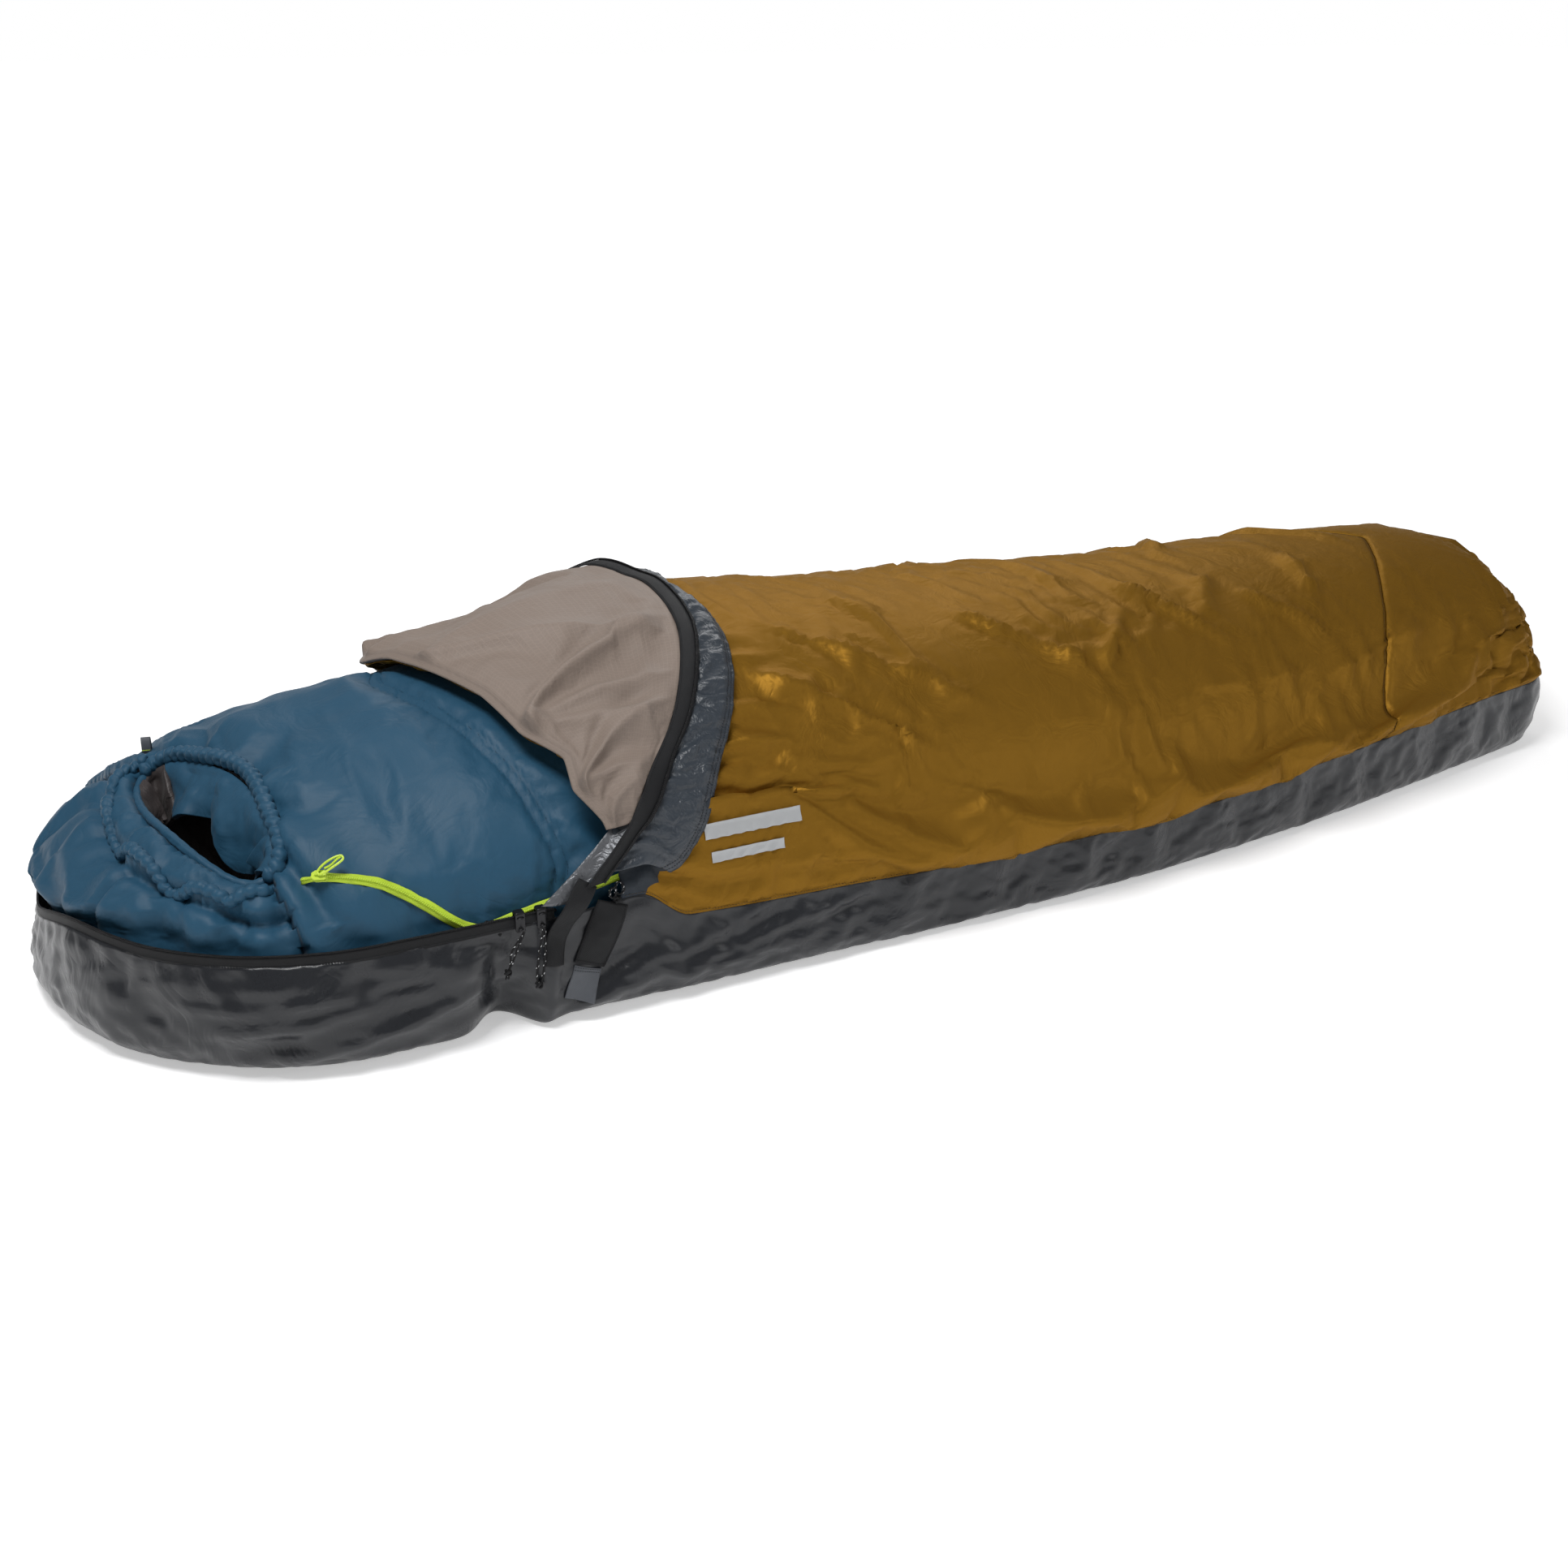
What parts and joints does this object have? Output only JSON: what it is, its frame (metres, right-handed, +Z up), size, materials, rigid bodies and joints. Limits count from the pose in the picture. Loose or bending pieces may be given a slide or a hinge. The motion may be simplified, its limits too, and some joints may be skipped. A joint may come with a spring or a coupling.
{
  "type": "bivy sack",
  "caption": "Bivouac sack with a coated tub floor, laminate canopy and zipped hood flap folded back, holding a mummy sleeping bag whose face opening shows.",
  "frame": {"origin": "on the ground under the floor, at mid length on the centre line", "axes": "+X towards the foot end, +Z up, -Y towards the side whose zip hardware is parked at the hood's hinge line; the head end is at -X"},
  "size_m": [2.13, 0.735, 0.3798],
  "materials": {
    "slate_nylon": "shiny coated nylon with small creases",
    "gold_laminate": "satin laminate with a metallic sheen",
    "band_nylon": "shiny coated nylon",
    "taupe_lining": "matte ripstop",
    "blue_taffeta": "soft taffeta over insulation",
    "charcoal_taffeta": "smooth lining",
    "black_tape": "woven tape",
    "black_net": "knitted net",
    "grey_nylon": "coated nylon",
    "black_coil": "moulded coil",
    "slider_metal": "black painted die casting",
    "tracer_cord": "braided cord with reflective tracers",
    "reflective_print": "reflective transfer film",
    "lime_tape": "woven tape",
    "lime_plastic": "moulded",
    "black_plastic": "moulded"
  },
  "bodies": {
    "sack": {"tub_floor": "slate_nylon", "body_canopy": "gold_laminate", "foot_panel": "gold_laminate", "seam_tape": "grey_nylon", "rim_zip_tape": "black_tape", "rim_zip_coil": "black_coil", "net_roll": "black_net", "net_slider": "slider_metal", "pole_pocket_near": "black_tape", "pole_pocket_far": "black_tape", "pocket_tab_near": "grey_nylon", "pocket_tab_far": "grey_nylon", "pocket_cord_near": "tracer_cord", "pocket_cord_far": "tracer_cord", "reflective_bar_upper": "reflective_print", "reflective_bar_lower": "reflective_print", "bag_shell": "blue_taffeta", "bag_hood": "blue_taffeta", "bag_lining": "charcoal_taffeta", "bag_hem_tube": "blue_taffeta", "bag_draft_collar": "blue_taffeta", "bag_zip_tape": "lime_tape", "bag_zip_coil": "lime_plastic", "bag_drawcord": "tracer_cord", "bag_hang_loop": "grey_nylon"},
    "hood": {"hood_flap": "taupe_lining", "hood_edge_band": "band_nylon", "hood_zip_tape": "black_tape", "hood_zip_coil": "black_coil"},
    "near_slider": {"zip_slider_near": "slider_metal"},
    "near_pull": {"zip_pull_near": "tracer_cord"},
    "far_slider": {"zip_slider_far": "slider_metal"},
    "far_pull": {"zip_pull_far": "tracer_cord"},
    "net_cord": {"net_pull": "tracer_cord"},
    "bag_zip_slider": {"bag_slider": "lime_plastic"},
    "bag_zip_pull": {"bag_pull": "lime_plastic"},
    "bag_low_slider": {"bag_slider_lower": "lime_plastic"},
    "bag_low_pull": {"bag_pull_lower": "lime_plastic"},
    "cordlock": {"bag_cordlock": "black_plastic"}
  },
  "joints": [
    {"name": "hood_fold", "type": "hinge", "parent": "sack", "child": "hood", "pos_m": [-0.565, 0, 0.13], "axis": [0, -1, 0], "range_deg": [0, 105], "deforming": ["hood_flap"]},
    {"name": "near_slider_travel", "type": "slide", "parent": "sack", "child": "near_slider", "axis": [-1, 0, 0], "range_m": [0, 0.145]},
    {"name": "near_pull_swing", "type": "hinge", "parent": "near_slider", "child": "near_pull", "pos_m": [-0.607, -0.3553, 0.129], "axis": [-1, 0, 0], "range_deg": [0, 120]},
    {"name": "far_slider_travel", "type": "slide", "parent": "sack", "child": "far_slider", "axis": [-1, 0, 0], "range_m": [0, 0.145]},
    {"name": "far_pull_swing", "type": "hinge", "parent": "far_slider", "child": "far_pull", "pos_m": [-0.607, 0.3553, 0.129], "axis": [1, 0, 0], "range_deg": [0, 120]},
    {"name": "net_pull_swing", "type": "hinge", "parent": "sack", "child": "net_cord", "pos_m": [-0.583, -0.3553, 0.129], "axis": [-1, 0, 0], "range_deg": [0, 120]},
    {"name": "bag_slider_travel", "type": "slide", "parent": "sack", "child": "bag_zip_slider", "axis": [0.9556, -0.2858, -0.0717], "range_m": [-0.008, 0.03]},
    {"name": "bag_pull_swing", "type": "hinge", "parent": "bag_zip_slider", "child": "bag_zip_pull", "pos_m": [-0.79669, -0.30407, 0.20088], "axis": [0.3572, -0.6427, -0.6778], "range_deg": [0, 100]},
    {"name": "bag_low_slider_travel", "type": "slide", "parent": "sack", "child": "bag_low_slider", "axis": [0.9892, 0.0265, 0.1439], "range_m": [-0.01, 0.03]},
    {"name": "bag_low_pull_swing", "type": "hinge", "parent": "bag_low_slider", "child": "bag_low_pull", "pos_m": [-0.56005, -0.3404, 0.14602], "axis": [0.4758, -0.1911, -0.8586], "range_deg": [0, 20]},
    {"name": "cordlock_travel", "type": "slide", "parent": "sack", "child": "cordlock", "axis": [-0.6697, 0.5023, -0.547], "range_m": [0, 0.022]}
  ]
}
